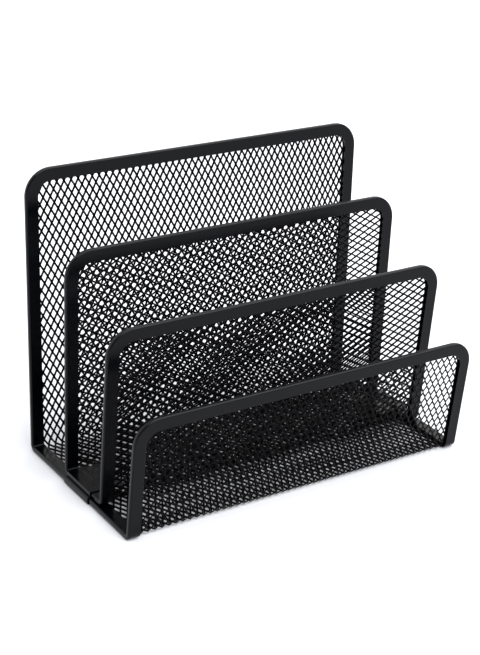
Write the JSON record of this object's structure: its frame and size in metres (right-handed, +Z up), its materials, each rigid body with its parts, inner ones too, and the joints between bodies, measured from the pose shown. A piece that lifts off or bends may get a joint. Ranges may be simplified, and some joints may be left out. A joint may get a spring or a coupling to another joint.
{
  "type": "desktop file sorter",
  "caption": "Three-slot desktop file sorter of black steel mesh with stepped, rounded upright panels in folded steel rims.",
  "frame": {"origin": "on the table, under the middle of the sorter's overall box", "axes": "+X along the panels towards the right-hand end, +Y from the low front panel towards the tall back panel, +Z up"},
  "size_m": [0.1768, 0.1007, 0.1343],
  "materials": {
    "black_mesh": "satin black powder coat on expanded steel mesh",
    "black_rim": "satin black powder coat on folded steel strip",
    "black_clip": "satin black powder coat on folded steel plate"
  },
  "bodies": {
    "root": {"outer_mesh_sheet": "black_mesh", "inner_mesh_sheet": "black_mesh", "back_panel_rim": "black_rim", "front_panel_rim": "black_rim", "second_panel_rim": "black_rim", "third_panel_rim": "black_rim", "left_clip_plate": "black_clip", "right_clip_plate": "black_clip"}
  },
  "joints": []
}
